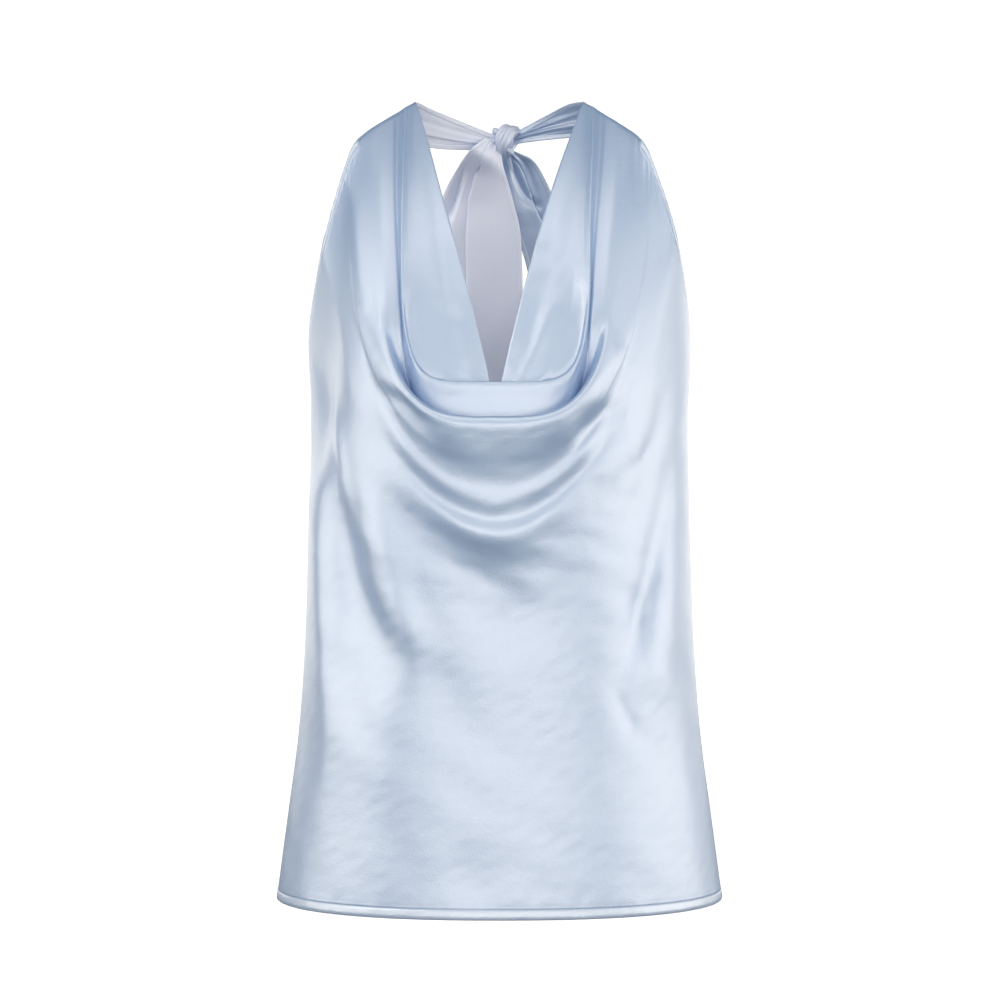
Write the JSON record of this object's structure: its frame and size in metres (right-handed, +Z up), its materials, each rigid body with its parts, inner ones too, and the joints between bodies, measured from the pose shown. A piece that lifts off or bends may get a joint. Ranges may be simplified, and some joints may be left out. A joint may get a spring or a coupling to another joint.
{
  "type": "halter neck top",
  "caption": "Sleeveless satin top, cut long and flared, with a draped cowl front, a low scooped back and neck straps knotted at the nape; an empty worn form, open at neck, armholes and hem.",
  "frame": {"origin": "the nape, where the wearer's neck holds the top up, inside the neck loop just in front of the knot", "axes": "+Z up along the wearer, -Y towards the front, +X towards the right as seen from the front"},
  "size_m": [0.3552, 0.2647, 0.6338],
  "materials": {
    "satin": "satin"
  },
  "bodies": {
    "root": {"front": "satin", "back": "satin", "strap_left": "satin", "strap_right": "satin", "knot": "satin", "tie_end_left": "satin", "tie_end_right": "satin"}
  },
  "joints": []
}
